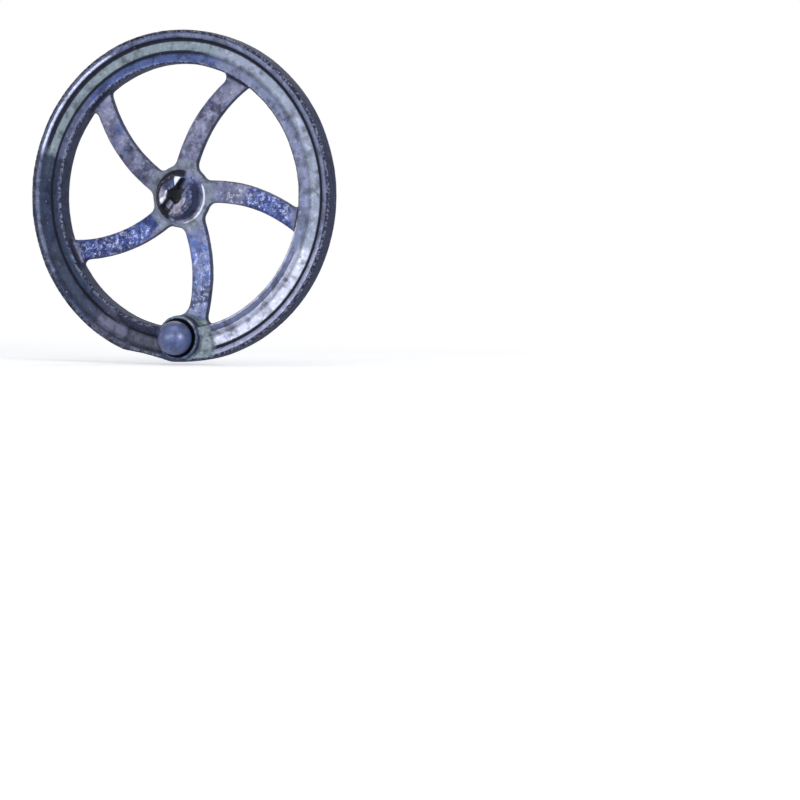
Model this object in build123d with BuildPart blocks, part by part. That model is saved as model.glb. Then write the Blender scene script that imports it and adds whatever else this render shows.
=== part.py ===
from build123d import *

import os
from math import cos, radians, sin, tan

# A cast-iron machine handwheel: a channelled rim, five swept spokes, a slotted hub, and
# a ball knob that turns in a boss on the rim, riveted over a washer. Millimetres.
# The wheel's axis is Y, the operator's side faces -Y, and the knob is at the bottom.
# A "height" is measured from the wheel's middle plane towards the operator.

# Rim
rim_outer_radius = 150.0
rim_width = 30.5
rim_front = 11.0
rim_back = -11.0
rim_front_chamfer = 1.8
rim_back_round = 6.5
channel_inset = 10.0
channel_width = 12.0
channel_depth = 4.0
channel_wall_slope = 30.0
channel_edge_chamfer = 0.8

# Spokes: each side is an arc that starts almost radial and leans over towards the rim
spoke_count = 5
spoke_root_angle = 60.0
spoke_sweep = 20.5
spoke_width_at_hub = 20.5
spoke_width_at_rim = 18.0
spoke_thickness = 10.0
spoke_edge_round = 3.0
spoke_hub_corner = 8.0
spoke_rim_corner = 6.0
spoke_overrun = 0.15

# Hub
hub_plate_radius = 28.5
hub_step_radius = 24.5
hub_step_height = 1.6
hub_step_round = 1.2
nose_root_radius = 20.5
nose_root_round = 2.5
nose_tip_radius = 18.0
nose_front = 18.5
nose_edge_round = 1.5
tail_root_radius = 21.0
tail_tip_radius = 20.0
tail_back = -14.0
shaft_bore_radius = 7.0
shaft_bore_chamfer = 0.8
drive_slot_width = 10.0
drive_slot_depth = 9.0
drive_slot_angle = 52.0

# Knob boss, the solid stretch of rim beside it, and the dip in the rim before it
boss_inset = 8.5
boss_angle = 271.0
boss_radius = 20.5
boss_front = 15.0
boss_edge_round = 1.2
boss_blend = 14.0
boss_lip_width = 3.1
boss_recess_depth = 2.4
pad_angle = 12.5
pad_drop = 1.2
dip_angle = 258.0
dip_depth = 3.0
dip_radius = 300.0

# Knob and washer
ball_radius = 15.5
ball_stand = 4.5
neck_radius = 11.0
neck_length = 1.4
pin_radius = 6.0
tenon_radius = 4.0
rivet_radius = 7.0
rivet_height = 3.2
washer_radius = 12.0
washer_thickness = 2.5

# Fits: the pin turns in its bore, and the knob has a little play end to end
running_clearance = 0.08
end_play = 0.3
tenon_clearance = 0.05

# How deep one lump of the casting is sunk into the next where the two join
tuck = 0.15

# Places worked out from the sizes above
rim_inner_radius = rim_outer_radius - rim_width
rim_middle_radius = rim_outer_radius - rim_width / 2
channel_inner_radius = rim_inner_radius + channel_inset
channel_outer_radius = channel_inner_radius + channel_width
channel_floor = rim_front - channel_depth
channel_run = channel_depth * tan(radians(channel_wall_slope))
channel_middle_radius = (channel_inner_radius + channel_outer_radius) / 2
web_front = spoke_thickness / 2
step_front = web_front + hub_step_height
slot_floor = nose_front - drive_slot_depth
boss_pitch_radius = rim_inner_radius + boss_inset
boss_x = boss_pitch_radius * cos(radians(boss_angle))
boss_z = boss_pitch_radius * sin(radians(boss_angle))
boss_recess_radius = boss_radius - boss_lip_width
recess_floor = boss_front - boss_recess_depth
neck_back = recess_floor + end_play
ball_seat = neck_back + neck_length
ball_centre = boss_front + ball_stand
washer_front = rim_back - end_play
washer_back = washer_front - washer_thickness
rivet_dome_radius = (rivet_radius**2 + rivet_height**2) / (2 * rivet_height)

wheel_axis = Axis((0, 0, 0), (0, -1, 0))
boss_axis = Axis((boss_x, 0, boss_z), (0, -1, 0))
boss_section = Plane(origin=(boss_x, 0, boss_z), x_dir=(1, 0, 0), z_dir=(0, 0, -1))
upright = (Align.CENTER, Align.MIN)


def wheel_section(angle):
    """The half plane at an angle round the wheel: x is radius, and y is height."""
    turn = radians(angle)
    return Plane(origin=(0, 0, 0), x_dir=(cos(turn), 0, sin(turn)), z_dir=(sin(turn), 0, -cos(turn)))


def spoke_side(side):
    """Start, middle and end of one side (1 or -1) of the spoke that meets the rim on the x axis."""
    span = rim_inner_radius - hub_plate_radius
    points = []
    for travel in (-spoke_overrun, 0.5, 1 + spoke_overrun):
        radius = hub_plate_radius + span * travel
        turn = radians(spoke_sweep * (1 - travel))
        lead = radians(spoke_sweep) * radius / span
        width = spoke_width_at_hub + (spoke_width_at_rim - spoke_width_at_hub) * travel
        outward = Vector(cos(turn), sin(turn))
        along = outward + Vector(sin(turn), -cos(turn)) * lead
        across = Vector(-along.Y, along.X).normalized()
        points.append(outward * radius + across * (side * width / 2))
    return points


def on_hub(corner):
    """Whether a corner of the web is one where a spoke meets the hub plate."""
    return corner.center().length < hub_plate_radius + tuck


def off_boss(corner):
    """How far a corner of the web lies outside the root of the knob boss."""
    return (corner.center() - Vector(boss_x, boss_z)).length - boss_radius - tuck


def on_rim(corner):
    """Whether a corner of the web is one where a spoke alone meets the inside of the rim."""
    from_rim = corner.center().length - rim_inner_radius - tuck
    return abs(from_rim) < tuck / 2 and off_boss(corner) > tuck


def on_boss_shoulder(corner):
    """Whether a corner of the web lies on the boss, and not on the flank that its spoke covers."""
    place = corner.center()
    inside_rim = place.length < rim_inner_radius + 2 * tuck
    return abs(off_boss(corner)) < tuck and place.X < boss_x + boss_radius / 2 and inside_rim


# One spoke's outline: two swept sides, and ends that lie inside the hub and the rim
with BuildSketch() as spoke:
    with BuildLine():
        upper = ThreePointArc(*spoke_side(1))
        lower = ThreePointArc(*spoke_side(-1))
        Line(upper @ 0, lower @ 0)
        Line(upper @ 1, lower @ 1)
    make_face()

with BuildPart() as wheel:
    # The flat web: hub plate, spokes and the root of the knob boss, with windows between
    with BuildSketch(Plane.XZ) as web:
        Circle(rim_middle_radius)
        Circle(rim_inner_radius + tuck, mode=Mode.SUBTRACT)
        Circle(hub_plate_radius)
        with PolarLocations(0, spoke_count, start_angle=spoke_root_angle):
            add(spoke.sketch)
        with Locations((boss_x, boss_z)):
            Circle(boss_radius + tuck)
        fillet(web.vertices().filter_by(on_hub), spoke_hub_corner)
        fillet(web.vertices().filter_by(on_rim), spoke_rim_corner)
        fillet(web.vertices().filter_by(on_boss_shoulder), boss_blend)
    extrude(amount=web_front, both=True)
    windows = [wire for face in wheel.faces().filter_by(Axis.Y) for wire in face.inner_wires()]
    fillet([edge for window in windows for edge in window.edges()], spoke_edge_round)

    # The rim: well rounded behind, with a shallow channel between two lips in front
    with BuildSketch(wheel_section(0)) as rim_section:
        with Locations((rim_middle_radius, rim_back)):
            Rectangle(rim_outer_radius - rim_inner_radius, rim_front - rim_back, align=upright)
        with BuildLine():
            Polyline(
                (channel_inner_radius, channel_floor),
                (channel_outer_radius, channel_floor),
                (channel_outer_radius + channel_run, rim_front),
                (channel_inner_radius - channel_run, rim_front),
                close=True,
            )
        make_face(mode=Mode.SUBTRACT)
        back_corners, floor_corners, front_corners = rim_section.vertices().group_by(Axis.Y)
        front_corners = front_corners.sort_by(Axis.X)
        fillet(back_corners, rim_back_round)
        chamfer([front_corners[0], front_corners[-1]], rim_front_chamfer)
        chamfer(front_corners[1:-1] + floor_corners, channel_edge_chamfer)
    revolve(axis=wheel_axis)

    # The shallow dip in the rim's outline, just before the boss
    with BuildSketch(Plane.XZ):
        with PolarLocations(rim_outer_radius - dip_depth + dip_radius, 1, start_angle=dip_angle):
            Circle(dip_radius)
    extrude(amount=rim_front - rim_back, both=True, mode=Mode.SUBTRACT)

    # The solid stretch of rim, from the boss to just past the spoke beside it
    with BuildSketch(wheel_section(boss_angle)):
        with Locations((channel_middle_radius, channel_floor - tuck)):
            Rectangle(
                channel_outer_radius - channel_inner_radius + 4 * channel_run,
                channel_depth - pad_drop + tuck,
                align=upright,
            )
    revolve(axis=wheel_axis, revolution_arc=pad_angle)

    # The hub: a low step and a tapered nose in front, and a plain tail behind
    with BuildSketch(wheel_section(0)) as hub_section:
        with BuildLine():
            Polyline(
                (0, tail_back),
                (tail_tip_radius, tail_back),
                (tail_root_radius, 0),
                (hub_step_radius, 0),
                (hub_step_radius, step_front),
                (nose_root_radius, step_front),
                (nose_tip_radius, nose_front),
                (0, nose_front),
                close=True,
            )
        make_face()
        corners = hub_section.vertices()
        nose_root = corners.sort_by_distance((nose_root_radius, step_front))[0]
        step_edge = corners.sort_by_distance((hub_step_radius, step_front))[0]
        nose_edge = corners.sort_by_distance((nose_tip_radius, nose_front))[0]
        tail_edge = corners.sort_by_distance((tail_tip_radius, tail_back))[0]
        fillet(nose_root, nose_root_round)
        fillet(step_edge, hub_step_round)
        fillet([nose_edge, tail_edge], nose_edge_round)
    revolve(axis=wheel_axis)

    # The knob boss, through the full depth of the rim and out past its front
    with BuildSketch(boss_section) as boss_profile:
        with BuildLine():
            Polyline(
                (0, rim_back),
                (boss_radius, rim_back),
                (boss_radius, boss_front),
                (boss_recess_radius, boss_front),
                (boss_recess_radius, recess_floor),
                (0, recess_floor),
                close=True,
            )
        make_face()
        fillet(boss_profile.vertices().group_by(Axis.X)[-1], boss_edge_round)
    revolve(axis=boss_axis)

    # The shaft bore, the drive slot across the nose, and the bore that the knob turns in
    with BuildSketch(wheel_section(0)):
        with BuildLine():
            Polyline(
                (0, tail_back),
                (shaft_bore_radius + shaft_bore_chamfer, tail_back),
                (shaft_bore_radius, tail_back + shaft_bore_chamfer),
                (shaft_bore_radius, nose_front),
                (0, nose_front),
                close=True,
            )
        make_face()
    revolve(axis=wheel_axis, mode=Mode.SUBTRACT)
    with BuildSketch(Plane.XZ.offset(slot_floor)):
        Rectangle(2 * nose_root_radius, drive_slot_width, rotation=drive_slot_angle)
    extrude(amount=drive_slot_depth, mode=Mode.SUBTRACT)
    with BuildSketch(Plane.XZ.offset(rim_back)):
        with Locations((boss_x, boss_z)):
            Circle(pin_radius + running_clearance)
    extrude(amount=recess_floor - rim_back, mode=Mode.SUBTRACT)
wheel.part.label = "wheel"

# The knob: ball, neck and pin turned as one, with its tail hammered over the washer
with BuildPart() as knob:
    with BuildSketch(boss_section):
        with Locations((0, ball_centre)):
            Circle(ball_radius)
        with Locations((0, washer_back - rivet_height + rivet_dome_radius)):
            Circle(rivet_dome_radius)
        with Locations((0, washer_back)):
            Rectangle(2 * ball_radius, ball_seat - washer_back, align=upright, mode=Mode.SUBTRACT)
            Rectangle(2 * tenon_radius, washer_thickness, align=upright)
        with Locations((0, washer_front)):
            Rectangle(2 * pin_radius, neck_back - washer_front, align=upright)
        with Locations((0, neck_back)):
            Rectangle(2 * neck_radius, neck_length, align=upright)
        with Locations((0, ball_centre)):
            Rectangle(ball_radius, 4 * ball_centre, align=(Align.MAX, Align.CENTER), mode=Mode.SUBTRACT)
    revolve(axis=boss_axis)
knob.part.label = "knob"

# The washer, tight on the knob's tail and clear of the wheel's back
with BuildPart() as washer:
    with BuildSketch(Plane.XZ.offset(washer_back)):
        with Locations((boss_x, boss_z)):
            Circle(washer_radius)
            Circle(tenon_radius + tenon_clearance, mode=Mode.SUBTRACT)
    extrude(amount=washer_thickness)
washer.part.label = "washer"

os.makedirs("parts", exist_ok=True)
export_step(wheel.part, "parts/wheel.step")
export_step(knob.part, "parts/knob.step")
export_step(washer.part, "parts/washer.step")
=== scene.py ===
"""Dresses the machine handwheel: rough painted castings, a turning ball knob, and the studio round them."""

import logging
import math
from dataclasses import dataclass
from enum import Enum

import bpy
import numpy as np
from mathutils import Matrix, Vector, noise
from mathutils.bvhtree import BVHTree


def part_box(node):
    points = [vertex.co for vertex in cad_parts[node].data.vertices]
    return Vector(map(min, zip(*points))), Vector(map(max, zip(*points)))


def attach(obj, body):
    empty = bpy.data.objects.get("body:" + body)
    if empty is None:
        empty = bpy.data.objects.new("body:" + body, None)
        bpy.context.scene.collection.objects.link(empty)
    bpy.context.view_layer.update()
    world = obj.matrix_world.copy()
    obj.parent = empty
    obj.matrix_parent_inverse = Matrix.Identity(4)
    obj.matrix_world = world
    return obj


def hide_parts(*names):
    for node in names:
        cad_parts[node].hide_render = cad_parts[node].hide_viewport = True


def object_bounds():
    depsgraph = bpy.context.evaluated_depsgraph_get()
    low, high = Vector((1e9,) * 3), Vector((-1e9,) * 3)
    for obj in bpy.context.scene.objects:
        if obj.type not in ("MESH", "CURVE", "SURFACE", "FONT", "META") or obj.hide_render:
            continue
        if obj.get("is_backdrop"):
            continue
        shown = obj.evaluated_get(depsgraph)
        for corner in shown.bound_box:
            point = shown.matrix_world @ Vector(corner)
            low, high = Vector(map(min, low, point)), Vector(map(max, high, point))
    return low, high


log = logging.getLogger("handwheel")

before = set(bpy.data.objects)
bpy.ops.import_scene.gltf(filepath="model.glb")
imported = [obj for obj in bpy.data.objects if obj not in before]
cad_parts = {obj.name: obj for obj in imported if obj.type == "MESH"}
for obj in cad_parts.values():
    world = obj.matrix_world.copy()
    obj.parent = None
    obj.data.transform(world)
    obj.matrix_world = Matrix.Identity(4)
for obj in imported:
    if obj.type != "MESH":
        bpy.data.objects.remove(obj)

MM = 0.001

# What a casting stores at its points: how shut in they are and how deep in a corner, which place painted
# shade with some dirt, and how far out of an edge, which places wear
SHADE_AND_GRIME = "shade_and_grime"
WEAR = "wear"
HOLLOW = "hollow"

# The sockets that a Mix node uses for colours
MIX_SHARE, MIX_UNDER, MIX_OVER = 0, 6, 7
MIX_RESULT = 2

# A texture's clouds lie evenly about this value
CLOUD_MIDDLE = 0.5

# A texture's clouds are moved along this way by their shift
SHIFT_WAY = (1.0, 0.7, -1.0)

Colour = tuple[float, float, float]
Step = tuple[float, float]
Socket = bpy.types.NodeSocket
Value = Socket | float | Colour

WHITE: Colour = (1.0, 1.0, 1.0)
WHITE_STRENGTH = 1.0


def paint_colour(red: int, green: int, blue: int) -> Colour:
    """Turns a colour as it looks on a screen into the shader's linear values.

    Args:
        red: Red, from 0 to 255.
        green: Green, from 0 to 255.
        blue: Blue, from 0 to 255.

    Returns:
        The three linear values, from 0 to 1.
    """
    def linear(value: int) -> float:
        """One channel's linear value."""
        share = value / 255
        return share / 12.92 if share <= 0.04045 else ((share + 0.055) / 1.055) ** 2.4

    return linear(red), linear(green), linear(blue)


@dataclass(frozen=True)
class Clouds:
    """Cloudy blotches over a surface.

    They have a size in metres, a number of finer layers and the strength of these, a shift
    that keeps two kinds apart, and the step of their value over which they come to show.
    """

    size: float
    detail: float = 3.0
    shift: float = 0.0
    rough: float = 0.55
    shows: Step = (0.0, 1.0)


class Grain(Enum):
    """The clouds that tear a patch's edge."""

    COARSE = Clouds(9.0 * MM, 5.0, 0.23 * 9.0, 0.7)
    FINE = Clouds(3.2 * MM, 5.0, 0.23 * 3.2, 0.7)


class Side(Enum):
    """Which side of the wheel a patch is on."""

    FRONT = "the side with the channel"
    BACK = "the machine's side"
    THROUGH = "both sides"


class Spread(Enum):
    """Which part of its stretch a patch lies on."""

    FACE = "all of it"
    EDGES = "along edges"


# Shapes


@dataclass
class MeshArrays:
    """A mesh as arrays, in metres: its points, its edges and its points' normals."""

    points: np.ndarray
    edges: np.ndarray
    normals: np.ndarray

    @classmethod
    def read(cls, mesh: bpy.types.Mesh) -> "MeshArrays":
        """Reads a mesh.

        Args:
            mesh: The mesh to read.

        Returns:
            Its points, edges and normals.
        """
        points = np.empty(len(mesh.vertices) * 3)
        mesh.vertices.foreach_get("co", points)
        normals = np.empty(len(mesh.vertices) * 3)
        mesh.vertices.foreach_get("normal", normals)
        edges = np.empty(len(mesh.edges) * 2, dtype=np.int64)
        mesh.edges.foreach_get("vertices", edges)
        return cls(points.reshape(-1, 3), edges.reshape(-1, 2), normals.reshape(-1, 3))

    def _gathered(self, values: np.ndarray) -> np.ndarray:
        """Adds up a value over each point's neighbours.

        Args:
            values: The value at each point.

        Returns:
            The sum at each point.
        """
        start, end = self.edges.T
        size = len(values)
        return np.bincount(start, values[end], size) + np.bincount(end, values[start], size)

    def relaxed(self, rounds: int, hold: np.ndarray | None = None, reach: float = 0.5) -> np.ndarray:
        """Moves each point part of the way to its neighbours' middle, a few times.

        Args:
            rounds: How many times the points move.
            hold: For each point, 1 to keep it still and 0 to let it move.
            reach: How much of the way a free point goes each time.

        Returns:
            The moved points.
        """
        count = self._gathered(np.ones(len(self.points)))[:, None]
        share = reach if hold is None else reach * (1 - hold[:, None])
        points = self.points.copy()
        for _ in range(rounds):
            total = np.stack([self._gathered(values) for values in points.T], axis=1)
            points += share * (total / count - points)
        return points


@dataclass(frozen=True)
class SandCastSkin:
    """The surface that a sand mould leaves: softened corners, slow lumps and a fine grit.

    Its shade rays start a few voxels above the surface, lean away from it, and tell how
    shut in each point is.
    """

    voxel: float = 1.25 * MM
    soften_rounds: int = 4
    lump_size: float = 22 * MM
    lump_height: float = 0.22 * MM
    grit_size: float = 4.5 * MM
    grit_height: float = 0.10 * MM
    wear_rounds: int = 16
    wear_depth: float = 0.75 * MM
    hollow_depth: float = 0.5 * MM
    shade_reach: float = 14 * MM
    shade_rays: int = 12
    shade_lift_voxels: float = 2.0
    shade_lean: float = 1.05
    seed: int = 11

    def cast(self, node: str, name: str, keep_true: list[tuple[Vector, float]]) -> bpy.types.Object:
        """Makes a cast piece in the place of a solid.

        Args:
            node: The solid's node.
            name: The new piece's name.
            keep_true: Axes along Y, each as a point on it and a radius within which nothing is softened.

        Returns:
            The new piece, with the places of its painted shade and its wear stored at its points.
        """
        piece = self._remeshed(node, name)
        mesh = piece.data
        arrays = MeshArrays.read(mesh)
        hold = self._held(arrays.points, keep_true)
        arrays.points = arrays.relaxed(self.soften_rounds, hold)
        mesh.vertices.foreach_set("co", arrays.points.ravel())
        mesh.update()
        arrays = MeshArrays.read(mesh)
        rough = arrays.points + arrays.normals * (self._relief(arrays.points) * (1 - hold))[:, None]
        low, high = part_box(node)
        mesh.vertices.foreach_set("co", np.clip(rough, np.array(low), np.array(high)).ravel())
        mesh.update()
        self._store_shade_and_wear(mesh)
        mesh.polygons.foreach_set("use_smooth", np.ones(len(mesh.polygons), dtype=bool))
        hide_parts(node)
        log.info("%s: %d points", name, len(mesh.vertices))
        return piece

    def _remeshed(self, node: str, name: str) -> bpy.types.Object:
        """Makes an even mesh of a solid, in squares one voxel wide.

        Args:
            node: The solid's node.
            name: The new piece's name.

        Returns:
            The new piece, without a material.
        """
        piece = bpy.data.objects.new(name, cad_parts[node].data.copy())
        bpy.context.scene.collection.objects.link(piece)
        piece.data.materials.clear()
        remesh = piece.modifiers.new("even squares", "REMESH")
        remesh.mode = "VOXEL"
        remesh.voxel_size = self.voxel
        bpy.context.view_layer.update()
        shaped = piece.evaluated_get(bpy.context.evaluated_depsgraph_get())
        even = bpy.data.meshes.new_from_object(shaped)
        piece.modifiers.clear()
        piece.data = even
        return piece

    def _held(self, points: np.ndarray, keep_true: list[tuple[Vector, float]]) -> np.ndarray:
        """Finds the points of machined bores and pins.

        Args:
            points: The casting's points.
            keep_true: The bores' and pins' axes and radii, as `cast` has them.

        Returns:
            For each point, 1 if it belongs to one of them and 0 if it doesn't.
        """
        held = np.zeros(len(points))
        for centre, radius in keep_true:
            away = np.hypot(points[:, 0] - centre.x, points[:, 2] - centre.z)
            held = np.maximum(held, away < radius)
        return held

    def _relief(self, points: np.ndarray) -> np.ndarray:
        """Works out the skin's lumps and grit.

        Args:
            points: The points of the smooth surface.

        Returns:
            How far each point stands proud of it, in metres.
        """
        # Each seed has a place of its own in the noise
        offset = Vector((self.seed, 2 * self.seed, 3 * self.seed))
        relief = np.empty(len(points))
        for index, place in enumerate(points):
            lump = noise.noise(Vector(place) / self.lump_size + offset)
            grit = noise.noise(Vector(place) / self.grit_size - offset)
            relief[index] = self.lump_height * lump + self.grit_height * grit
        return relief

    def _store_shade_and_wear(self, mesh: bpy.types.Mesh) -> None:
        """Stores at each point how shut in it is, how far out of an edge and how deep in a corner, which
        place its painted shade and its wear.

        Args:
            mesh: The casting's mesh.
        """
        arrays = MeshArrays.read(mesh)
        depth = ((arrays.relaxed(self.wear_rounds) - arrays.points) * arrays.normals).sum(axis=1)
        shade_and_wear_layers = {
            SHADE_AND_GRIME: self._shut_in(arrays),
            WEAR: np.clip(-depth / self.wear_depth, 0, 1),
            HOLLOW: np.clip(depth / self.hollow_depth, 0, 1),
        }
        for name, values in shade_and_wear_layers.items():
            layer = mesh.attributes.new(name, "FLOAT", "POINT")
            layer.data.foreach_set("value", values.astype(np.float32))

    def _shut_in(self, arrays: MeshArrays) -> np.ndarray:
        """Finds how shut in the surface is by the object's own solids.

        Args:
            arrays: The casting's mesh.

        Returns:
            For each point, the share of short rays from it that strike a solid.
        """
        corners, faces = [], []
        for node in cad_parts.values():
            first = len(corners)
            corners += [vertex.co.copy() for vertex in node.data.vertices]
            faces += [[first + corner for corner in face.vertices] for face in node.data.polygons]
        solids = BVHTree.FromPolygons(corners, faces)
        spread = np.random.default_rng(self.seed).normal(size=(self.shade_rays, 3))
        spread /= np.linalg.norm(spread, axis=1)[:, None]
        lift = self.shade_lift_voxels * self.voxel
        struck = np.zeros(len(arrays.points))
        for index, (place, normal) in enumerate(zip(arrays.points, arrays.normals)):
            start = Vector(place + normal * lift)
            for ray in spread + normal * self.shade_lean:
                if solids.ray_cast(start, Vector(ray), self.shade_reach)[0] is not None:
                    struck[index] += 1
        return struck / self.shade_rays


# Finishes


@dataclass(frozen=True)
class Wash:
    """A colour and how rough it leaves the surface."""

    colour: Colour
    roughness: float


@dataclass(frozen=True)
class Patch:
    """A stretch of the wheel that has a tint of its own.

    It runs between two radii from an axis, in millimetres. Its middle is at an angle round
    that axis, counted in degrees from +X towards +Z. Without a half width it goes all round.
    It fades over a soft angle in degrees and a soft radius in millimetres. Torn says how
    ragged the clouds make it, and cover how much of it they leave.
    """

    name: str
    inner: float
    outer: float
    wash: Wash
    strength: float = 1.0
    angle: float = 0.0
    half_width: float | None = None
    soft_angle: float = 6.0
    soft_radius: float = 1.0
    torn: float = 1.0
    cover: float = 1.0
    centre: tuple[float, float] = (0.0, 0.0)
    grain: Grain = Grain.COARSE
    spread: Spread = Spread.FACE
    side: Side = Side.FRONT


class FinishGraph:
    """The nodes of one finish, each made by a short call."""

    def __init__(self, name: str) -> None:
        """Starts an empty material with a shader and the object's own coordinates.

        Args:
            name: The material's name.
        """
        self.material = bpy.data.materials.new(name)
        self.material.use_nodes = True
        self.nodes = self.material.node_tree.nodes
        self.links = self.material.node_tree.links
        self.nodes.clear()
        output = self.nodes.new("ShaderNodeOutputMaterial")
        self.shader = self.nodes.new("ShaderNodeBsdfPrincipled")
        self.links.new(self.shader.outputs[0], output.inputs[0])
        places = self.nodes.new("ShaderNodeTexCoord").outputs
        self.place, self.facing = places["Object"], places["Normal"]

    def feed(self, socket: Socket, value: Value) -> None:
        """Links a socket to another one, or sets its number, colour or vector.

        Args:
            socket: The socket that takes the value.
            value: Another socket, or a constant.
        """
        if isinstance(value, Socket):
            self.links.new(value, socket)
        elif isinstance(value, tuple) and len(value) == 3 and socket.type == "RGBA":
            socket.default_value = (*value, 1.0)
        else:
            socket.default_value = value

    def number(self, operation: str, *values: Value) -> Socket:
        """Works a number out from others.

        Args:
            operation: The math node's operation.
            *values: Its inputs, as numbers or sockets.

        Returns:
            The result's socket.
        """
        node = self.nodes.new("ShaderNodeMath")
        node.operation = operation
        for socket, value in zip(node.inputs, values):
            self.feed(socket, value)
        return node.outputs[0]

    def times(self, first: Value, second: Value) -> Socket:
        """The product of two numbers."""
        return self.number("MULTIPLY", first, second)

    def rise(self, value: Value, start: float, end: float) -> Socket:
        """Makes a smooth step from 0 to 1.

        Args:
            value: The number that the step follows.
            start: Where the step is still 0.
            end: Where it has reached 1.

        Returns:
            The step's socket.
        """
        node = self.nodes.new("ShaderNodeMapRange")
        node.interpolation_type = "SMOOTHSTEP"
        for name, content in (("Value", value), ("From Min", start), ("From Max", end)):
            self.feed(node.inputs[name], content)
        return node.outputs["Result"]

    def cloud(self, clouds: Clouds) -> Socket:
        """Makes a cloudy number from 0 to 1.

        Args:
            clouds: The clouds' size, layers and shift.

        Returns:
            The number's socket.
        """
        mover = self.nodes.new("ShaderNodeVectorMath")
        mover.operation = "ADD"
        self.feed(mover.inputs[0], self.place)
        mover.inputs[1].default_value = [clouds.shift * way for way in SHIFT_WAY]
        node = self.nodes.new("ShaderNodeTexNoise")
        self.feed(node.inputs["Vector"], mover.outputs[0])
        node.inputs["Scale"].default_value = 1 / clouds.size
        node.inputs["Detail"].default_value = clouds.detail
        node.inputs["Roughness"].default_value = clouds.rough
        return node.outputs[0]

    def blotches(self, clouds: Clouds) -> Socket:
        """Clouds that are 0 below their step and 1 above it."""
        return self.rise(self.cloud(clouds), *clouds.shows)

    def layer(self, share: Value, under: Value, over: Value) -> Socket:
        """Lays one colour over another.

        Args:
            share: How much of the upper colour shows, from 0 to 1.
            under: The lower colour.
            over: The upper colour.

        Returns:
            The mixed colour's socket.
        """
        node = self.nodes.new("ShaderNodeMix")
        node.data_type = "RGBA"
        for index, value in ((MIX_SHARE, share), (MIX_UNDER, under), (MIX_OVER, over)):
            self.feed(node.inputs[index], value)
        return node.outputs[MIX_RESULT]

    def scaled(self, colour: Value, factor: float) -> Socket:
        """Makes a colour darker or brighter.

        Args:
            colour: The colour.
            factor: What it is multiplied by.

        Returns:
            The new colour's socket.
        """
        node = self.nodes.new("ShaderNodeVectorMath")
        node.operation = "SCALE"
        self.feed(node.inputs[0], colour)
        node.inputs["Scale"].default_value = factor
        return node.outputs[0]

    def stored(self, name: str) -> Socket:
        """Reads a number stored at the mesh's points.

        Args:
            name: The name it is stored under.

        Returns:
            The number's socket.
        """
        node = self.nodes.new("ShaderNodeAttribute")
        node.attribute_name = name
        return node.outputs["Fac"]

    def bumps(self, heights: list[tuple[Socket, float]], strength: float = 1.0) -> None:
        """Gives the surface bumps.

        Args:
            heights: Each layer of bumps, as a number from 0 to 1 and its height in metres.
            strength: How much of the bumps shows.
        """
        normal = None
        for height, distance in heights:
            node = self.nodes.new("ShaderNodeBump")
            node.inputs["Strength"].default_value = strength
            node.inputs["Distance"].default_value = distance
            self.feed(node.inputs["Height"], height)
            if normal is not None:
                self.feed(node.inputs["Normal"], normal)
            normal = node.outputs[0]
        self.feed(self.shader.inputs["Normal"], normal)


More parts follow.
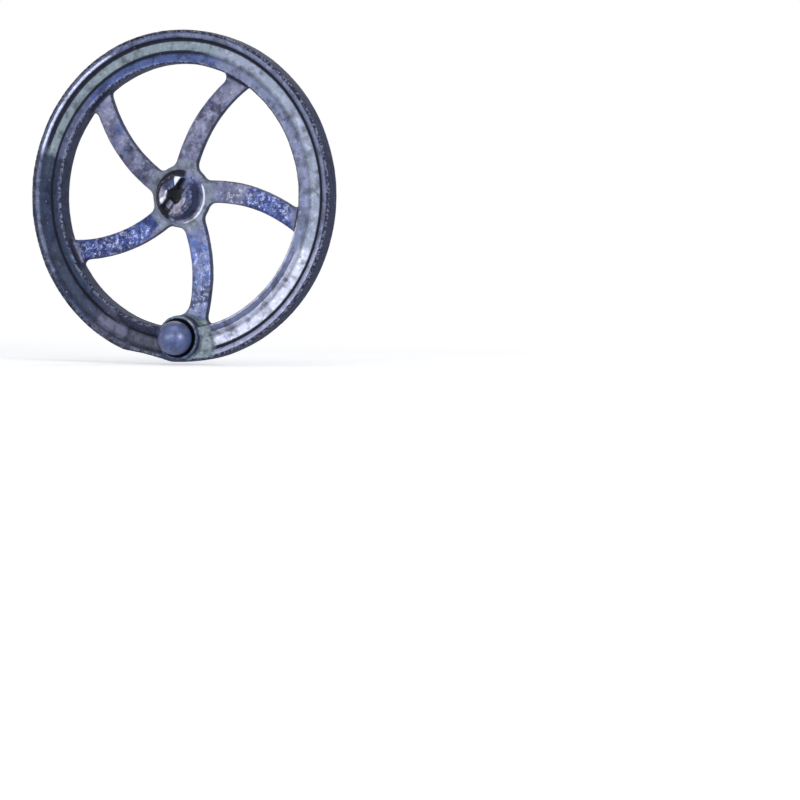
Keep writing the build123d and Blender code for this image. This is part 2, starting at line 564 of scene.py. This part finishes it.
class WheelPlaces:
    """Where each place of the surface lies on the wheel, and the clouds that tear a patch's edge."""

    # The depths over which a patch on one side fades in
    FRONT_FADE: Step = (3 * MM, -2 * MM)
    BACK_FADE: Step = (6 * MM, 9 * MM)
    # How far out of an edge a place is where a patch along edges, such as a painted highlight, comes in
    OUT_OF_EDGE: Step = (0.2, 0.6)
    # Where a patch's torn share turns from none of it to all of it
    PATCH_EDGE: Step = (0.25, 0.75)

    def __init__(self, graph: FinishGraph) -> None:
        """Makes the nodes that find the places.

        Args:
            graph: The finish that uses them.
        """
        self.graph = graph
        parts = graph.nodes.new("ShaderNodeSeparateXYZ")
        graph.feed(parts.inputs[0], graph.place)
        self.x, depth, self.z = parts.outputs
        self.sides = {
            Side.FRONT: graph.rise(depth, *self.FRONT_FADE),
            Side.BACK: graph.rise(depth, *self.BACK_FADE),
        }
        self.tears = {
            grain: graph.number("SUBTRACT", graph.cloud(grain.value), CLOUD_MIDDLE) for grain in Grain
        }
        self.axes: dict[tuple[float, float], tuple[Socket, ...]] = {}

    def _from_axis(self, centre: tuple[float, float]) -> tuple[Socket, ...]:
        """Finds the places as seen from an axis along Y, once for each axis.

        Args:
            centre: The axis's x and z, in millimetres.

        Returns:
            The places' x, z and distance from it, in metres.
        """
        if centre not in self.axes:
            graph = self.graph
            x = graph.number("SUBTRACT", self.x, centre[0] * MM)
            z = graph.number("SUBTRACT", self.z, centre[1] * MM)
            square = graph.number("MULTIPLY_ADD", x, x, graph.times(z, z))
            self.axes[centre] = (x, z, graph.number("SQRT", square))
        return self.axes[centre]

    def _facing(self, patch: Patch) -> Socket:
        """Finds how much of a patch's angle round its axis covers each place.

        Args:
            patch: A patch that has a half width.

        Returns:
            A number from 0 to 1.
        """
        graph = self.graph
        x, z, radius = self._from_axis(patch.centre)
        turn = math.radians(patch.angle)
        along = graph.number("MULTIPLY_ADD", x, math.cos(turn), graph.times(z, math.sin(turn)))
        wide = math.radians(patch.half_width + patch.soft_angle)
        narrow = math.radians(max(patch.half_width - patch.soft_angle, 0.0))
        return graph.rise(graph.number("DIVIDE", along, radius), math.cos(wide), math.cos(narrow))

    def share(self, patch: Patch) -> Socket:
        """Finds how much of a patch lies at each place.

        Args:
            patch: The patch.

        Returns:
            A number from 0 to 1.
        """
        graph = self.graph
        radius = self._from_axis(patch.centre)[-1]
        inner, outer, soft = patch.inner * MM, patch.outer * MM, patch.soft_radius * MM
        outside_hole = graph.rise(radius, inner - soft, inner + soft)
        share = graph.times(outside_hole, graph.rise(radius, outer + soft, outer - soft))
        if patch.half_width is not None:
            share = graph.times(share, self._facing(patch))
        if patch.side in self.sides:
            share = graph.times(share, self.sides[patch.side])
        if patch.spread is Spread.EDGES:
            share = graph.times(share, graph.rise(graph.stored(WEAR), *self.OUT_OF_EDGE))
        swing = patch.torn * patch.cover / CLOUD_MIDDLE
        ragged = graph.number("MULTIPLY_ADD", self.tears[patch.grain], swing, patch.cover)
        return graph.times(graph.rise(graph.times(share, ragged), *self.PATCH_EDGE), patch.strength)


@dataclass(frozen=True)
class CastPaint:
    """Thin metallic paint over a rough casting, blotched with age and dirt, with bare metal on its edges,
    pale dots painted as highlights, and painted shade on its side walls, in shut-in places and in corners.

    Each kind of ageing and of painted shade has a strength from 0 to 1 and the step at which it comes in, and
    the ageing has the clouds that break it up. Stain and bloom are what the colour is multiplied by.
    """

    name: str = "metallic paint with wear and painted light"
    pale: Wash = Wash(paint_colour(132, 135, 162), 0.42)
    slate: Wash = Wash(paint_colour(92, 96, 124), 0.48)
    slate_clouds: Clouds = Clouds(15 * MM, 5.0, 0.0, 0.65, (0.40, 0.62))
    deep_blue: Colour = paint_colour(66, 84, 140)
    blue_clouds: Clouds = Clouds(19.5 * MM, 4.0, 0.31, 0.6, (0.52, 0.66))
    blue_share: float = 0.55
    patches: tuple[Patch, ...] = ()
    metallic: float = 0.30
    gloss: float = 0.22

    # Painted shade on the side walls: its colour, the facing over which it comes in, its strength and its
    # roughness
    wall: Colour = paint_colour(40, 47, 74)
    wall_step: Step = (0.80, 0.25)
    walls: float = 0.85
    wall_roughness: float = 0.25

    mottling: float = 1.0
    stain: float = 0.48
    stain_clouds: Clouds = Clouds(9 * MM, 4.0, 0.83, 0.6, (0.46, 0.68))
    bloom: float = 1.45
    bloom_clouds: Clouds = Clouds(5 * MM, 3.0, 0.19, 0.55, (0.50, 0.72))

    # Pale bare metal for rubbed edges, also laid as small painted highlights
    bare: Colour = paint_colour(196, 202, 226)
    worn: float = 0.26
    worn_step: Step = (0.45, 1.0)
    worn_clouds: Clouds = Clouds(2.6 * MM, 4.0, 0.43, 0.7, (0.46, 0.60))
    # Small pale dots over the paint, painted as highlights
    glint_specks: float = 0.5
    glint_speck_clouds: Clouds = Clouds(2.6 * MM, 2.0, 0.67, 0.4, (0.72, 0.78))

    # Painted shade, with some dirt, where the casting is shut in and deep in corners: its colour, then its
    # strength and step for each
    dirt: Colour = paint_colour(20, 23, 34)
    shade_and_grime: float = 0.6
    shade_and_grime_step: Step = (0.12, 0.75)
    corners: float = 0.55
    corner_step: Step = (0.2, 1.0)

    relief: float = 0.8
    pits: Clouds = Clouds(5.0 * MM, 3.0, 0.57, 0.6)
    pit_depth: float = 1.1 * MM
    grit: Clouds = Clouds(1.5 * MM, 3.0, 0.11, 0.6)
    grit_height: float = 0.30 * MM

    def material(self) -> bpy.types.Material:
        """Makes the paint.

        Returns:
            The material, coloured by place, height and age.
        """
        graph = FinishGraph(self.name)
        colour, roughness = self._coats(graph)
        colour, roughness = self._tints(graph, colour, roughness)
        wall = self._wall(graph)
        # Lays painted shade on the side walls
        colour = graph.layer(graph.times(wall, self.walls), colour, self.wall)
        colour = self._age(graph, self._mottle(graph, colour))
        graph.feed(graph.shader.inputs["Base Color"], colour)
        roughness = graph.number("MULTIPLY_ADD", wall, self.wall_roughness * self.walls, roughness)
        graph.feed(graph.shader.inputs["Roughness"], roughness)
        graph.shader.inputs["Metallic"].default_value = self.metallic
        graph.shader.inputs["Specular IOR Level"].default_value = self.gloss
        bumps = [(graph.cloud(self.pits), self.pit_depth), (graph.cloud(self.grit), self.grit_height)]
        graph.bumps(bumps, self.relief)
        return graph.material

    def _coats(self, graph: FinishGraph) -> tuple[Socket, Socket]:
        """Makes the pale paint with its slate and blue blotches.

        Args:
            graph: The paint's nodes.

        Returns:
            The colour and the roughness.
        """
        slate = graph.blotches(self.slate_clouds)
        colour = graph.layer(slate, self.pale.colour, self.slate.colour)
        blue = graph.times(graph.blotches(self.blue_clouds), self.blue_share)
        rougher = self.slate.roughness - self.pale.roughness
        roughness = graph.number("MULTIPLY_ADD", slate, rougher, self.pale.roughness)
        return graph.layer(blue, colour, self.deep_blue), roughness

    def _tints(self, graph: FinishGraph, colour: Value, roughness: Value) -> tuple[Socket, Socket]:
        """Lays the patches over the paint.

        Args:
            graph: The paint's nodes.
            colour: The paint's colour.
            roughness: Its roughness.

        Returns:
            The new colour and roughness.
        """
        places = WheelPlaces(graph)
        for patch in self.patches:
            share = places.share(patch)
            colour = graph.layer(share, colour, patch.wash.colour)
            colour.node.label = patch.name
            rougher = graph.number("SUBTRACT", patch.wash.roughness, roughness)
            roughness = graph.number("MULTIPLY_ADD", rougher, share, roughness)
        return colour, roughness

    def _wall(self, graph: FinishGraph) -> Socket:
        """Finds the side walls, which face neither front nor back, where painted shade goes.

        Args:
            graph: The paint's nodes.

        Returns:
            1 on a side wall, and 0 elsewhere.
        """
        facing = graph.nodes.new("ShaderNodeSeparateXYZ")
        graph.feed(facing.inputs[0], graph.facing)
        return graph.rise(graph.number("ABSOLUTE", facing.outputs[1]), *self.wall_step)

    def _mottle(self, graph: FinishGraph, colour: Value) -> Socket:
        """Lays small darker and paler blotches over all of the paint.

        Args:
            graph: The paint's nodes.
            colour: The paint's colour.

        Returns:
            The mottled colour.
        """
        for clouds, factor in ((self.stain_clouds, self.stain), (self.bloom_clouds, self.bloom)):
            share = graph.times(graph.blotches(clouds), self.mottling)
            colour = graph.layer(share, colour, graph.scaled(colour, factor))
        return colour

    def _age(self, graph: FinishGraph, colour: Value) -> Socket:
        """Lays painted shade, with some dirt, in shut-in places and deep corners, bare metal on rubbed edges,
        and pale dots painted as highlights over the paint.

        Args:
            graph: The paint's nodes.
            colour: The paint's colour.

        Returns:
            The aged colour.
        """
        edges = graph.rise(graph.stored(WEAR), *self.worn_step)
        shade_and_wear_layers = (
            (graph.times(edges, graph.blotches(self.worn_clouds)), self.worn, self.bare),
            (graph.blotches(self.glint_speck_clouds), self.glint_specks, self.bare),
            # Painted shade, with some dirt, where the casting is shut in and deep in corners
            (graph.rise(graph.stored(SHADE_AND_GRIME), *self.shade_and_grime_step), self.shade_and_grime, self.dirt),
            (graph.rise(graph.stored(HOLLOW), *self.corner_step), self.corners, self.dirt),
        )
        for place, strength, over in shade_and_wear_layers:
            colour = graph.layer(graph.times(place, strength), colour, over)
        return colour


@dataclass(frozen=True)
class BareSteel:
    """Dull turned steel with a little rust in it."""

    name: str = "dull bare steel"
    steel: Wash = Wash(paint_colour(150, 150, 154), 0.38)
    metallic: float = 0.9
    rust: Colour = paint_colour(96, 74, 62)
    rust_clouds: Clouds = Clouds(5 * MM, 4.0, shows=(0.52, 0.75))
    rust_roughness: float = 0.3
    relief: float = 0.6
    grit: Clouds = Clouds(0.8 * MM, 2.0)
    grit_height: float = 0.08 * MM

    def material(self) -> bpy.types.Material:
        """Makes the steel.

        Returns:
            The material.
        """
        graph = FinishGraph(self.name)
        rust = graph.blotches(self.rust_clouds)
        roughness = graph.number("MULTIPLY_ADD", rust, self.rust_roughness, self.steel.roughness)
        graph.feed(graph.shader.inputs["Base Color"], graph.layer(rust, self.steel.colour, self.rust))
        graph.feed(graph.shader.inputs["Roughness"], roughness)
        graph.shader.inputs["Metallic"].default_value = self.metallic
        graph.bumps([(graph.cloud(self.grit), self.grit_height)], self.relief)
        return graph.material


# The object's own pieces


def middle(node: str) -> Vector:
    """The middle of a solid's box."""
    low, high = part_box(node)
    return (low + high) / 2


def axis_of(node: str) -> tuple[float, float]:
    """The x and z of a solid's axis along Y, in millimetres."""
    return middle(node).x / MM, middle(node).z / MM


@dataclass(frozen=True)
class WheelCasting:
    """The wheel: rim, spokes, hub and knob boss, cast as one.

    Each row of its patches gives a name, the inner and the outer radius, the wash and its
    strength, and then, where the patch doesn't go all round, its angle, half width, soft
    angle and soft radius.
    """

    node: str = "wheel"
    body: str = "wheel"
    slot: str = "painted_iron"
    shaft_bore: float = 8.6 * MM
    knob_bore: float = 7.4 * MM
    skin: SandCastSkin = SandCastSkin()

    def patches(self) -> tuple[Patch, ...]:
        """The stretches of the wheel that have a tint of their own, the lowest layer first."""
        return self._rim_patches() + self._spoke_patches() + self._boss_patches() + self._hub_patches()

    def _rim_patches(self) -> tuple[Patch, ...]:
        """Lists the rim's: its two lips, the channel between them, painted highlights, painted shade in its
        creases and on its edges, and a stretch at the left darkened as painted shade.

        Returns:
            The patches, the lowest layer first.
        """
        lip = Wash(paint_colour(82, 90, 122), 0.34)
        pale_lip = Wash(paint_colour(118, 126, 156), 0.38)
        blue_lip = Wash(paint_colour(70, 88, 144), 0.32)
        floor = Wash(paint_colour(148, 158, 180), 0.44)
        green = Wash(paint_colour(126, 142, 150), 0.50)
        white = Wash(paint_colour(212, 217, 240), 0.34)
        navy = Wash(paint_colour(38, 50, 76), 0.46)
        crease_shade = Wash(paint_colour(12, 16, 36), 0.55)
        # Dark navy laid as painted shade on the rim's edges and by the boss
        edge = Wash(paint_colour(24, 30, 54), 0.46)
        violet = Wash(paint_colour(156, 160, 190), 0.34)
        shade_grey = Wash(paint_colour(62, 64, 84), 0.48)
        smear = Wash(paint_colour(112, 116, 142), 0.44)
        return (
            Patch("lips", 118, 153, lip, 0.92, torn=0.3),
            Patch("right inner lip", 120, 131, pale_lip, 0.85, 8, 72, 14, torn=0.8),
            Patch("upper inner lip", 120, 131, blue_lip, 0.75, 104, 30, 14, torn=1.2),
            Patch("right outer lip", 142, 147, pale_lip, 0.55, 30, 60, 14, torn=1.2),
            Patch("channel floor", 130, 141, floor, 0.95, 5, 168, 4, torn=0.3),
            Patch("greenish floor", 130, 141, green, 0.75, 122, 48, 16, torn=1.6),
            # Painted highlight along the outer lip at the upper left
            Patch("outer lip's painted highlight", 143.4, 145.4, white, 0.8, 146, 26, 12, 0.7, torn=1.6, grain=Grain.FINE),
            Patch("low inner lip", 121, 127.5, lip, 0.75, 306, 30, 10, torn=1.4),
            # Painted sheen on the channel floor at the lower right
            Patch("low floor's painted sheen", 127, 140.5, white, 0.85, 311, 27, 9, torn=1.3),
            Patch("low floor's scuffs", 127, 140.5, lip, 0.6, 311, 30, 9, torn=5, cover=0.26),
            # Painted highlight on the outer lip at the lower right
            Patch("low outer lip's painted highlight", 142.5, 148, violet, 0.8, 308, 34, 12, torn=1.6),
            # Painted shade over the rim's left and lower left
            Patch("rim's painted shade", 118, 153, navy, 0.92, 206, 42, 4, torn=0.6),
            # Painted highlight along the outer lip within the painted shade
            Patch("painted highlight in the rim's shade", 142.6, 145.4, pale_lip, 0.5, 186, 20, 10, torn=2.2),
            # Painted shade over the rim by the boss, darkest on its inner part
            Patch("dark rim by the boss", 118, 153, shade_grey, 0.85, 250, 16, 8, torn=0.8),
            Patch("black rim by the boss", 118, 130, edge, 0.85, 254, 12, 6),
            Patch("smear", 128, 142, smear, 0.7, 240, 5, 4, torn=1.4),
            # Painted shade in the channel's creases, along the outer wall and at the upper left along the
            # inner lip
            Patch("outer crease", 139.4, 142.8, crease_shade, 0.95, 34, 128, 6, torn=0.3),
            Patch("inner crease", 128.6, 131.6, crease_shade, 0.9, 160, 82, 14, torn=0.3),
            # Painted shade along the rim's inner edge, on both sides
            Patch("inner edge", 117, 121.0, edge, 0.85, torn=0.5, side=Side.THROUGH),
            # Painted highlight along the inner edge at the lower right
            Patch("inner edge's painted highlight", 119, 121.8, white, 0.7, 318, 30, 8, torn=1.6, grain=Grain.FINE),
            # Painted shade all round the rim's outer face, on both sides
            Patch("outer face's painted shade", 147.2, 153, edge, 0.95, torn=0.3, side=Side.THROUGH),
        )

    def _spoke_patches(self) -> tuple[Patch, ...]:
        """Lists the spokes': bluer on three of them, with stains and painted glints.

        Returns:
            The patches, the lowest layer first.
        """
        cool = Wash(paint_colour(110, 124, 168), 0.36)
        blue = Wash(paint_colour(60, 84, 156), 0.28)
        deep = Wash(paint_colour(36, 44, 98), 0.30)
        soot = Wash(paint_colour(40, 46, 74), 0.42)
        # Pale flecks laid as painted glints on three spokes
        glint_white = Wash(paint_colour(204, 210, 234), 0.28)
        return (
            Patch("low spoke", 34, 114, cool, 0.75, 281, 20, 6, 5, side=Side.THROUGH),
            Patch("low spoke's blue", 36, 84, blue, 0.7, 281, 20, 6, 6, torn=4, cover=0.5, side=Side.THROUGH),
            Patch("low spoke's stain", 82, 102, soot, 0.75, 279, 14, 5, 10, torn=3, cover=0.7),
            Patch(
                "low spoke's painted glints", 50, 108, glint_white, 0.6, 281, 16, 5, 7,
                torn=6, cover=0.25, grain=Grain.FINE,
            ),
            Patch("left spoke", 28, 112, blue, 0.85, 208, 21, 6, 8, torn=1.4, side=Side.THROUGH),
            Patch(
                "left spoke's depths", 28, 116, deep, 0.85, 208, 21, 6, 5,
                torn=4, cover=0.62, side=Side.THROUGH,
            ),
            Patch(
                "left spoke's painted glints", 40, 112, glint_white, 0.65, 208, 21, 6, 5,
                torn=6, cover=0.27, grain=Grain.FINE,
            ),
            Patch("right spoke", 70, 113, blue, 0.85, 353, 14, 5, 14, torn=2.2, side=Side.THROUGH),
            Patch("right spoke's depths", 60, 113, deep, 0.75, 353, 14, 5, 9, torn=4, cover=0.5),
            Patch(
                "right spoke's painted glints", 40, 112, glint_white, 0.65, 353, 16, 5, 7,
                torn=6, cover=0.27, grain=Grain.FINE,
            ),
            Patch(
                "upper right stains", 44, 96, soot, 0.7, 62, 18, 6, 8,
                torn=5, cover=0.38, side=Side.THROUGH,
            ),
            Patch(
                "upper left stains", 34, 76, soot, 0.7, 140, 20, 6, 8,
                torn=4, cover=0.45, side=Side.THROUGH,
            ),
        )

    def _boss_patches(self) -> tuple[Patch, ...]:
        """Lists the knob boss's: a dusty solid stretch, the boss's ring with painted shade on it and under
        the boss, and painted shade in its recess.

        Returns:
            The patches, the lowest layer first.
        """
        boss = axis_of("washer")
        dusty = Wash(paint_colour(140, 153, 160), 0.56)
        ring = Wash(paint_colour(112, 128, 142), 0.48)
        shade = Wash(paint_colour(38, 54, 96), 0.34)
        recess_shade = Wash(paint_colour(20, 24, 40), 0.50)
        return (
            Patch("solid stretch", 114, 148, dusty, 0.88, 278.5, 6.5, 2, torn=1.0),
            Patch(
                "solid stretch's dirt", 118, 148, ring, 0.8, 279, 6.5, 2,
                torn=4, cover=0.45, grain=Grain.FINE,
            ),
            Patch("under the boss", 147, 153, shade, 0.9, 269, 9, 4),
            Patch("boss ring", 16.5, 23, ring, 0.85, torn=1.0, centre=boss, grain=Grain.FINE),
            Patch("boss ring's shade", 16.5, 23, shade, 0.85, 215, 75, 18, torn=0.8, centre=boss),
            Patch(
                "boss ring's scuffs", 17, 23, dusty, 0.7, 60, 60, 18,
                torn=4, cover=0.45, centre=boss, grain=Grain.FINE,
            ),
            Patch("boss ring's right", 16.5, 21, shade, 0.75, 345, 48, 14, torn=1.2, centre=boss),
            # Painted shade in the recess round the knob
            Patch("recess", 0, 17.5, recess_shade, 1.0, torn=0.0, centre=boss, soft_radius=0.5),
        )

    def _hub_patches(self) -> tuple[Patch, ...]:
        """Lists the hub's: painted shadow round the nose and on its left, painted highlights on the slot's
        lips, the nose and the step, painted light and a painted dark reflection on the nose, a worn face, and
        painted shade in its bore.

        Returns:
            The patches, the lowest layer first.
        """
        black = Wash(paint_colour(14, 16, 24), 0.42)
        white = Wash(paint_colour(226, 231, 246), 0.24)
        plate = Wash(paint_colour(118, 129, 142), 0.48)
        navy = Wash(paint_colour(36, 44, 82), 0.24)
        nose = Wash(paint_colour(86, 96, 134), 0.24)
        bare = Wash(paint_colour(160, 155, 174), 0.30)
        return (
            Patch("hub plate", 25, 34, plate, 0.6, torn=1.4),
            Patch("nose", 0, 20, nose, 0.9, torn=0.5),
            Patch("nose's bare metal", 5, 16, bare, 0.85, 300, 48, 12, torn=1.4),
            # Painted light on the nose's left, where the slot's left wall faces the light
            Patch("nose's painted light on the left", 5, 15, bare, 0.7, 190, 40, 12, torn=1.4),
            # Painted dark reflection on the nose's right side
            Patch("nose's painted dark reflection", 12.5, 19, navy, 0.9, 345, 42, 12, torn=0.6),
            Patch("nose's top", 8, 18.5, navy, 0.8, 100, 36, 12, torn=1.4),
            # Painted shadow on the nose's left side
            Patch("nose's painted shadow on the left", 14.6, 20, black, 0.92, 168, 78, 14, torn=0.6),
            # Painted highlights along the slot's lips and the nose's right edge
            Patch("slot's painted highlight", 6, 14.2, white, 0.95, 188, 44, 8, torn=1.0, spread=Spread.EDGES),
            Patch("slot's upper painted highlight", 9, 18.5, white, 0.95, 62, 24, 6, torn=0.8, spread=Spread.EDGES),
            Patch("nose's painted highlight at the right", 6, 15, white, 0.5, 300, 30, 8, torn=2.4, spread=Spread.EDGES),
            # Painted shadow round the nose's left and top
            Patch("painted shadow round the nose", 17.8, 24, black, 0.95, 158, 86, 16, torn=0.4),
            # A darker navy band round the foot of the nose at the right
            Patch("dark band round the nose's foot at the right", 19.8, 22, navy, 0.6, 338, 80, 12, torn=0.6),
            # Painted highlight along the hub's step at the lower right
            Patch("step's painted highlight", 23.9, 25.3, white, 0.85, 332, 50, 16, 0.5, torn=1.0),
            # Painted shade filling the bore
            Patch("bore", 0, 7.9, black, 1.0, torn=0.0, soft_radius=0.5, side=Side.THROUGH),
        )

    def build(self) -> bpy.types.Object:
        """Makes and paints the casting.

        Returns:
            The piece, riding on its body.
        """
        shaft = Vector((0, 0, 0))
        bores = [(shaft, self.shaft_bore), (middle("washer"), self.knob_bore)]
        piece = self.skin.cast(self.node, "wheel_casting", bores)
        piece.data.materials.append(CastPaint(patches=self.patches()).material())
        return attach(piece, self.body)


@dataclass(frozen=True)
class TurningKnob:
    """The ball knob that turns in the boss, and the washer that holds it."""

    node: str = "knob"
    washer: str = "washer"
    body: str = "knob"
    slot: str = "painted_knob"
    pin_reach: float = 11.6 * MM
    rivet_reach_mm: float = 9.0
    skin: SandCastSkin = SandCastSkin(
        voxel=0.7 * MM,
        soften_rounds=2,
        lump_size=9 * MM,
        lump_height=0.16 * MM,
        grit_size=3 * MM,
        grit_height=0.05 * MM,
        seed=23,
    )

    def _paint(self) -> CastPaint:
        """Mixes the knob's paint: darker and glossier than the wheel's, with a bare rivet head.

        Returns:
            The paint.
        """
        steel = Wash(paint_colour(132, 130, 136), 0.42)
        axis = axis_of(self.washer)
        bare_end = Patch(
            "rivet head", 0, self.rivet_reach_mm, steel, 0.9, torn=1.2, centre=axis, side=Side.BACK
        )
        return CastPaint(
            name="knob paint",
            patches=(bare_end,),
            pale=Wash(paint_colour(64, 86, 146), 0.34),
            slate=Wash(paint_colour(36, 52, 100), 0.38),
            slate_clouds=Clouds(11 * MM, 5.0, 0.0, 0.65, (0.40, 0.62)),
            deep_blue=paint_colour(28, 44, 106),
            blue_clouds=Clouds(14.3 * MM, 4.0, 0.31, 0.6, (0.52, 0.66)),
            metallic=0.05,
            gloss=1.0,
            worn=0.25,
            # Painted shade on the knob's side walls
            walls=0.5,
            mottling=0.35,
            relief=0.15,
        )

    def build(self) -> bpy.types.Object:
        """Makes and paints the knob, and finishes the washer.

        Returns:
            The new knob, riding on its body.
        """
        piece = self.skin.cast(self.node, "ball_knob", [(middle(self.washer), self.pin_reach)])
        piece.data.materials.append(self._paint().material())
        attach(piece, self.body)
        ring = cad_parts[self.washer].data
        ring.materials.clear()
        ring.materials.append(BareSteel().material())
        log.info("%s: finished in place", self.washer)
        return piece


# The studio


@dataclass(frozen=True)
class SoftPanel:
    """A soft light panel, aimed at the wheel from a bearing and an elevation, in degrees.

    Its distance and sides are in metres, and its power is in watts.
    """

    name: str
    bearing: float
    elevation: float
    distance: float
    width: float
    height: float
    power: float
    target: tuple[float, float, float] = (0.0, 0.0, 0.0)

    def place(self) -> bpy.types.Object:
        """Makes the lamp.

        Returns:
            The lamp, which the camera doesn't see.
        """
        turn, rise = math.radians(self.bearing), math.radians(self.elevation)
        way = Vector((math.sin(turn) * math.cos(rise), -math.cos(turn) * math.cos(rise), math.sin(rise)))
        data = bpy.data.lights.new(self.name, "AREA")
        data.shape = "RECTANGLE"
        data.size = self.width
        data.size_y = self.height
        data.energy = self.power
        lamp = bpy.data.objects.new(self.name, data)
        lamp.location = Vector(self.target) + way * self.distance
        lamp.rotation_euler = way.to_track_quat("Z", "Y").to_euler()
        lamp.visible_camera = False
        bpy.context.scene.collection.objects.link(lamp)
        return lamp


@dataclass(frozen=True)
class Studio:
    """A plain pale floor under soft light, with a white surround.

    The floor's own glow grows from near_lift under the wheel to far_lift in the distance.
    """

    floor_colour: Colour = (0.86, 0.86, 0.87)
    floor_gap: float = 2.5 * MM
    floor_reach: float = 30.0
    near_lift: float = 0.44
    far_lift: float = 0.75
    fade: Step = (0.3, 2.4)
    surround_colour: Colour = (0.93, 0.95, 1.0)
    surround_strength: float = 0.32
    panels: tuple[SoftPanel, ...] = (
        SoftPanel("key", 62, 8, 1.6, 0.4, 0.6, 12.0),
        SoftPanel("front", 4, 12, 1.8, 0.4, 0.6, 5.0),
        SoftPanel("low glow", -27, 3, 0.55, 0.16, 0.16, 0.45, (0.085, 0.0, -0.095)),
        SoftPanel("top", 20, 68, 1.8, 1.2, 1.0, 6.0),
        SoftPanel("back", 190, 35, 2.0, 1.4, 1.0, 7.0),
    )

    def build(self) -> None:
        """Makes the floor, the surround and the lamps."""
        self._floor()
        self._surround()
        for panel in self.panels:
            panel.place()
        log.info("studio: %d lamps", len(self.panels))

    def _seen(self, nodes: bpy.types.Nodes, links: bpy.types.NodeLinks) -> Socket:
        """Tells what is looked at from what gives light.

        Args:
            nodes: The material's or the world's nodes.
            links: Their links.

        Returns:
            1 for rays that come from the eye, a reflection or through glass, and 0 for light.
        """
        path = nodes.new("ShaderNodeLightPath")
        seen = path.outputs["Is Camera Ray"]
        for ray in ("Is Glossy Ray", "Is Transmission Ray"):
            either = nodes.new("ShaderNodeMath")
            either.operation = "MAXIMUM"
            links.new(seen, either.inputs[0])
            links.new(path.outputs[ray], either.inputs[1])
            seen = either.outputs[0]
        return seen

    def _floor(self) -> None:
        """Makes a wide floor just under the wheel."""
        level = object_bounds()[0].z - self.floor_gap
        corners = ((-1, -1), (1, -1), (1, 1), (-1, 1))
        mesh = bpy.data.meshes.new("floor")
        points = [(self.floor_reach * x, self.floor_reach * y, level) for x, y in corners]
        mesh.from_pydata(points, [], [(0, 1, 2, 3)])
        mesh.materials.append(self._floor_material())
        floor = bpy.data.objects.new("floor", mesh)
        bpy.context.scene.collection.objects.link(floor)
        floor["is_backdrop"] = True

    def _floor_material(self) -> bpy.types.Material:
        """Makes the floor's finish, which looks white and keeps the shadow.

        Returns:
            The material.
        """
        material = bpy.data.materials.new("pale floor")
        material.use_nodes = True
        nodes, links = material.node_tree.nodes, material.node_tree.links
        nodes.clear()
        output = nodes.new("ShaderNodeOutputMaterial")
        matt = nodes.new("ShaderNodeBsdfDiffuse")
        matt.inputs["Color"].default_value = (*self.floor_colour, 1.0)
        away = nodes.new("ShaderNodeVectorMath")
        away.operation = "LENGTH"
        links.new(nodes.new("ShaderNodeTexCoord").outputs["Object"], away.inputs[0])
        fade = nodes.new("ShaderNodeMapRange")
        fade.interpolation_type = "SMOOTHSTEP"
        links.new(away.outputs["Value"], fade.inputs["Value"])
        fade.inputs["From Min"].default_value, fade.inputs["From Max"].default_value = self.fade
        fade.inputs["To Min"].default_value = self.near_lift
        fade.inputs["To Max"].default_value = self.far_lift
        lift = nodes.new("ShaderNodeMath")
        lift.operation = "MULTIPLY"
        links.new(self._seen(nodes, links), lift.inputs[0])
        links.new(fade.outputs["Result"], lift.inputs[1])
        glow = nodes.new("ShaderNodeEmission")
        links.new(lift.outputs[0], glow.inputs["Strength"])
        both = nodes.new("ShaderNodeAddShader")
        links.new(matt.outputs[0], both.inputs[0])
        links.new(glow.outputs[0], both.inputs[1])
        links.new(both.outputs[0], output.inputs[0])
        return material

    def _surround(self) -> None:
        """Makes a surround that looks white and gives a soft even light."""
        world = bpy.data.worlds.new("surround")
        bpy.context.scene.world = world
        world.use_nodes = True
        nodes, links = world.node_tree.nodes, world.node_tree.links
        nodes.clear()
        pick = nodes.new("ShaderNodeMixShader")
        links.new(self._seen(nodes, links), pick.inputs[0])
        looks = ((self.surround_colour, self.surround_strength), (WHITE, WHITE_STRENGTH))
        for socket, (colour, strength) in zip(pick.inputs[1:], looks):
            light = nodes.new("ShaderNodeBackground")
            light.inputs["Color"].default_value = (*colour, 1.0)
            light.inputs["Strength"].default_value = strength
            links.new(light.outputs[0], socket)
        links.new(pick.outputs[0], nodes.new("ShaderNodeOutputWorld").inputs[0])


@dataclass(frozen=True)
class Viewpoint:
    """Where the camera stands and what it points at, for a picture 800 by 800.

    The roll is in degrees, and the lens and the sensor are in millimetres.
    """

    place: tuple[float, float, float] = (1.3392, -2.6841, -0.0448)
    aim: tuple[float, float, float] = (0.2146, 0.0, -0.1799)
    roll: float = 0.29
    lens: float = 148.4
    sensor: float = 36.0
    far_clip: float = 100.0

    def set_up(self) -> None:
        """Makes the camera and gives it to the scene."""
        data = bpy.data.cameras.new("camera")
        data.lens = self.lens
        data.sensor_width = self.sensor
        data.sensor_fit = "HORIZONTAL"
        data.clip_end = self.far_clip
        camera = bpy.data.objects.new("camera", data)
        place = Vector(self.place)
        looking = (Vector(self.aim) - place).to_track_quat("-Z", "Y").to_matrix().to_4x4()
        lean = Matrix.Rotation(math.radians(self.roll), 4, "Z")
        camera.matrix_world = Matrix.Translation(place) @ looking @ lean
        bpy.context.scene.collection.objects.link(camera)
        bpy.context.scene.camera = camera


def main() -> None:
    """Builds the object and its studio."""
    logging.basicConfig(level=logging.INFO, format="%(name)s: %(message)s")
    bpy.context.scene.view_settings.view_transform = "Standard"
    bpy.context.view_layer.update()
    for piece in (WheelCasting().build(), TurningKnob().build()):
        log.info("finished piece: %s", piece.name)
    Studio().build()
    Viewpoint().set_up()


if __name__ == "__main__":
    main()
